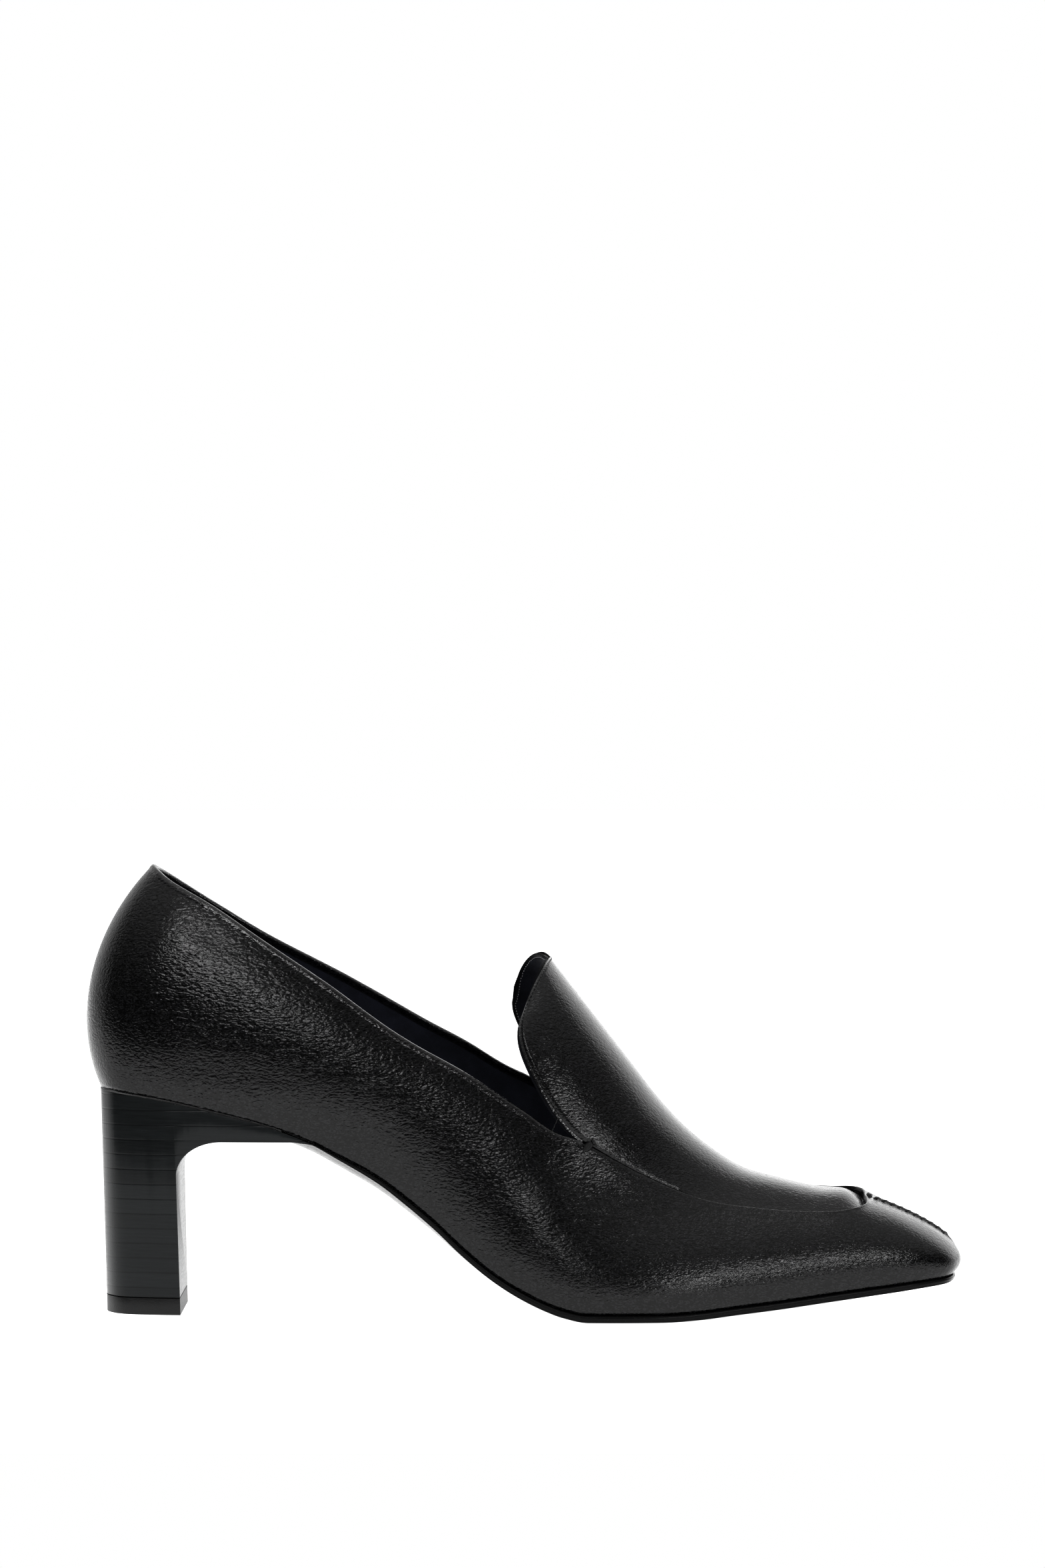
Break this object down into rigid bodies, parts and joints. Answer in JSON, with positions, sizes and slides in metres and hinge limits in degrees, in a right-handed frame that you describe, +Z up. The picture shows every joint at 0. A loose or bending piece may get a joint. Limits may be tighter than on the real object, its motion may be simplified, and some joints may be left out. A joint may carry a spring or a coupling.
{
  "type": "loafer pump",
  "caption": "Right heeled loafer in black leather: square toe, raised apron seam running up into a tall tongue, open collar, slim block heel with top lift",
  "frame": {"origin": "the middle of the shoe's outline on the plane it stands on: halfway between the back of the counter and the tip of the toe, and halfway across the ball", "axes": "+X towards the toe, +Y towards the inner (medial) side, +Z up from the floor"},
  "size_m": [0.2436, 0.079, 0.1239],
  "materials": {
    "black_leather": "soft grained nappa, satin",
    "insole_lining": "matt",
    "outsole_edge": "painted edge, semi-gloss",
    "heel_stack": "stacked, satin",
    "lift_rubber": "matt"
  },
  "bodies": {
    "root": {"upper": "black_leather", "insole": "insole_lining", "outsole": "outsole_edge", "heel": "heel_stack", "top_lift": "lift_rubber"}
  },
  "joints": []
}
